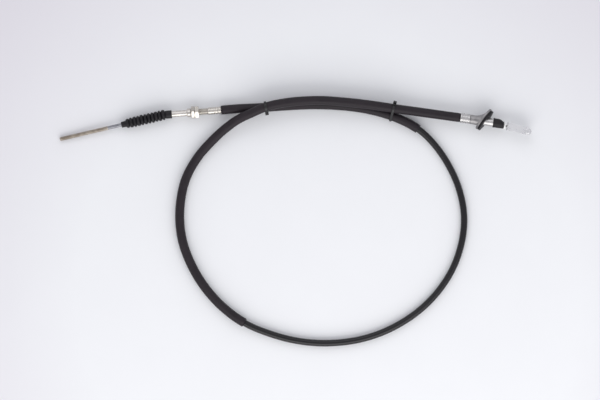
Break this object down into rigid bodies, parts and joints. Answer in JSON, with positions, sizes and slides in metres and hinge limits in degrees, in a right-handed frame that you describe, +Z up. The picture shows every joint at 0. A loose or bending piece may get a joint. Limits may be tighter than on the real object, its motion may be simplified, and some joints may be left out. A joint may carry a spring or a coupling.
{
  "type": "clutch cable",
  "caption": "Clutch cable laid in a tied loop, with a threaded release rod in a bellows, a screw adjuster, an oblique bulkhead flange and a pedal yoke.",
  "frame": {"origin": "middle of the box round the two end fittings, on the bench that the cable lies on", "axes": "+X from the release rod's end to the pedal yoke's end, +Y away from the loop, +Z up from the bench"},
  "size_m": [0.7065, 0.3748, 0.0319],
  "materials": {
    "steel": "nickel plated steel",
    "bright_zinc": "bright zinc plated steel",
    "yellow_zinc": "yellow zinc plated steel",
    "casting": "grey die casting",
    "rope": "stranded steel wire",
    "rubber": "black moulded rubber",
    "jacket": "glossy black plastic",
    "sleeve": "matt black sleeve",
    "black_nylon": "black nylon",
    "white_nylon": "white nylon",
    "liner": "smooth white plastic"
  },
  "bodies": {
    "casing": {"release_ferrule": "steel", "adjuster_tube": "steel", "adjusting_nut": "steel", "lock_nut": "steel", "guide_tube": "bright_zinc", "bellows": "rubber", "conduit_jacket": "jacket", "armour_coil": "steel", "liner": "liner", "inner_rope": "rope", "release_sleeve": "sleeve", "pedal_sleeve": "sleeve", "release_tie": "black_nylon", "pedal_tie": "black_nylon", "pedal_ferrule": "bright_zinc", "bulkhead_flange": "casting", "bulkhead_gasket": "rubber", "pedal_tube": "bright_zinc", "cone_boot": "rubber", "boot_bush": "white_nylon"},
    "rod": {"release_rod": "yellow_zinc"},
    "rope_end": {"pedal_rope": "rope", "rope_stop": "steel"},
    "yoke": {"pedal_yoke": "bright_zinc", "clevis_pin": "bright_zinc", "pin_clip": "steel"}
  },
  "joints": [
    {"name": "pedal_pull", "type": "slide", "parent": "casing", "child": "rope_end", "axis": [0.9694, -0.2453, 0], "range_m": [0, 0.028]},
    {"name": "rod_pull", "type": "slide", "parent": "casing", "child": "rod", "axis": [0.9731, 0.2264, 0.0427], "range_m": [0, 0.028], "deforming": ["bellows"]},
    {"name": "yoke_swivel", "type": "hinge", "parent": "rope_end", "child": "yoke", "pos_m": [0.31863, -0.00424, 0.014], "axis": [0.9694, -0.2453, 0], "continuous": true}
  ],
  "couplings": [
    {"joint": "rod_pull", "follows": "pedal_pull", "ratio": 1}
  ]
}
